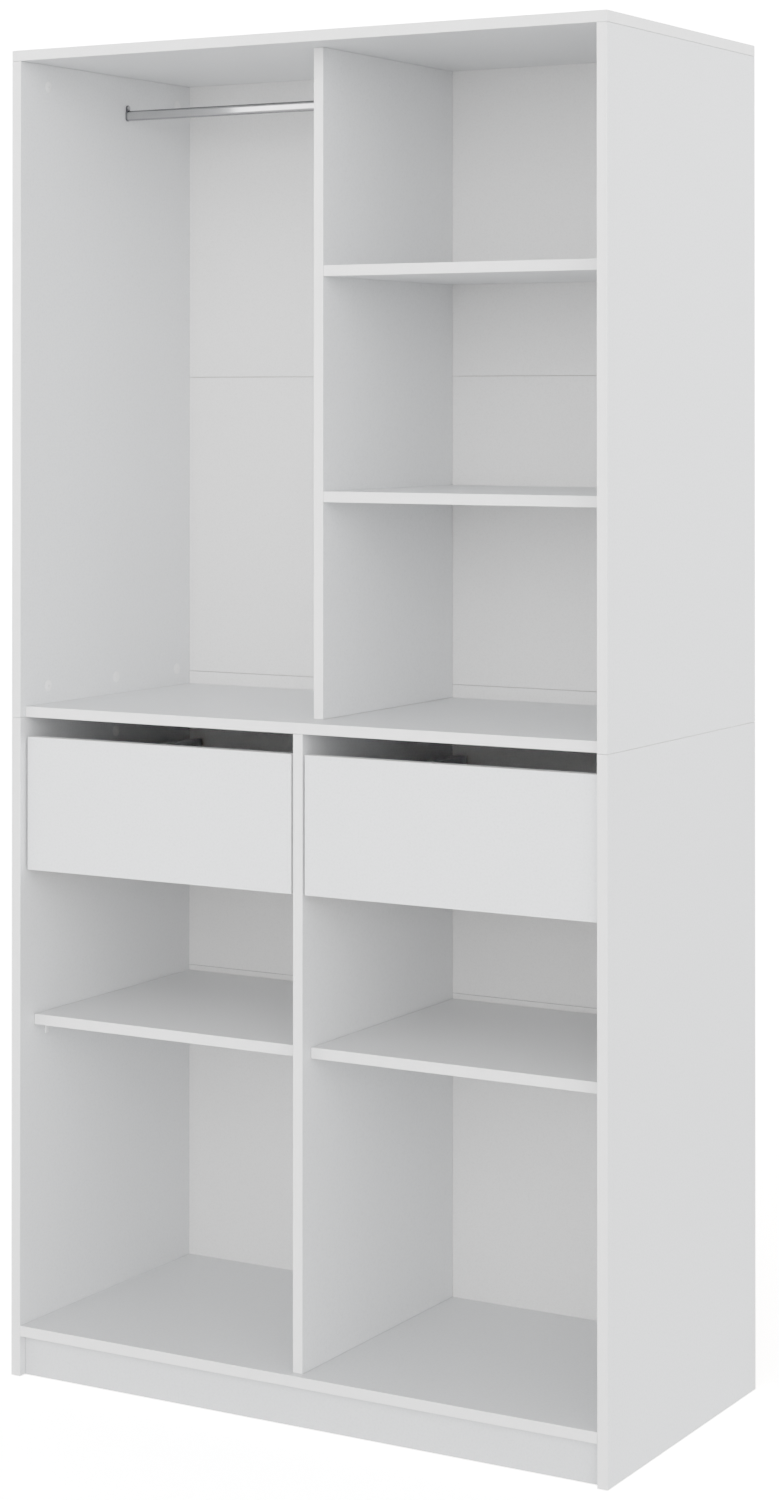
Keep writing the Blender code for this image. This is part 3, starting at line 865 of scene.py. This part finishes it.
OUTER = runner("runner_outer", (0.0003, 0.0098, 0.0225, 0.0037), LENGTH,
               HOLES + (-0.115, 0.0, 0.115), 0.0024)
INSIDE = runner("runner_middle", (0.0026, 0.0108, 0.0176, 0.0036), MIDDLE,
                (-0.150, 0.150), 0.0040)
INNER = runner("runner_inner", (0.0127, 0.0054, 0.0126, 0.0034), LENGTH,
               HOLES + (-0.115, 0.0, 0.115), 0.0024)
MEMBERS = {"outer": OUTER, "middle": INSIDE, "inner": INNER}

# Flat heads: they sit in the runner's web, with a cross recess.
HEAD = turned("flat_head", [(0.0007, 0.0), (0.0007, 0.0026), (0.0005, 0.0031),
                            (0.0, 0.0034), (-0.0011, 0.0022),
                            (-0.0060, 0.0022), (-0.0060, 0.0)], 28)
FLAT_SCREW = worked(HEAD, cross(0.0034, 0.0008, 0.0009, 0.0008))
BUFFER = worked(solid("runner_buffer",
                      [(-0.0055, -0.0105), (0.0055, -0.0105),
                       (0.0055, 0.0105), (-0.0055, 0.0105)], 0.0042, 0.0050),
                bevel=0.0003)

for drawer in ("left_drawer", "right_drawer"):
    screws = []
    for hand, sign in (("left", -1), ("right", 1)):
        name = "%s_runner_%s" % (drawer, hand)
        lo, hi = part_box(name + "_outer")
        face = lo.x - 0.0003 if sign < 0 else hi.x + 0.0003
        z = (lo.z + hi.z) / 2.0
        for member, mesh in MEMBERS.items():
            node = "%s_%s" % (name, member)
            body = {"outer": CARCASS, "inner": drawer,
                    "middle": "%s_slider_%s" % (drawer, hand)}[member]
            piece("%s_rail_%s_%s" % (drawer, hand, member), mesh, ZINC, body,
                  at(face, centre_of(node).y, z, sign), node)
        mid = centre_of(name + "_outer").y
        heads = [at(face - sign * 0.0015, mid + y, z, sign) for y in HOLES]
        piece("%s_rail_screws_%s" % (drawer, hand),
              grouped("rail_screws", FLAT_SCREW, heads), SCREW, CARCASS)
        mid = centre_of(name + "_inner").y
        screws += [at(face - sign * 0.0115, mid + y, z, -sign) for y in HOLES]
        mid = centre_of(name + "_middle").y
        piece("%s_rail_buffer_%s" % (drawer, hand), BUFFER, BLACK,
              "%s_slider_%s" % (drawer, hand),
              at(face, mid - MIDDLE / 2.0 + 0.0075, z, sign))
    piece("%s_runner_screws" % drawer,
          grouped("runner_screws", FLAT_SCREW, screws), SCREW, drawer)

# ------------------------------------------------------- drawer box fittings
CAP = turned("joint_cap", [(0.0009, 0.0), (0.0009, 0.0056), (0.0008, 0.0066),
                           (0.0004, 0.0073), (0.0001, 0.0075), (0.0001, 0.0)],
             40)
JOINT_CAP = worked(CAP, cross(0.0050, 0.0011, 0.0005, 0.0010))
BOLT = turned("box_screw", [(0.0005, 0.0), (0.0005, 0.0030), (0.0003, 0.0034),
                            (0.0001, 0.0035), (0.0001, 0.0)], 28)
BOX_SCREW = worked(BOLT, cross(0.0030, 0.0009, 0.0003, 0.0006))
for drawer in ("left_drawer", "right_drawer"):
    caps, bolts = [], []
    for hand, sign in (("left", -1), ("right", 1)):
        lo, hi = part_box("%s_side_%s" % (drawer, hand))
        outer = lo.x if sign < 0 else hi.x
        inner = hi.x if sign < 0 else lo.x
        for z in (0.812, 0.888):
            caps.append(at(inner, lo.y + 0.034, z, sign))
        for z in (0.796, 0.872):
            bolts.append(at(outer, hi.y - 0.008, z, -sign))
    piece("%s_joint_caps" % drawer, grouped("joint_caps", JOINT_CAP, caps),
          WHITE, drawer)
    piece("%s_box_screws" % drawer, grouped("box_screws", BOX_SCREW, bolts),
          SCREW, drawer)
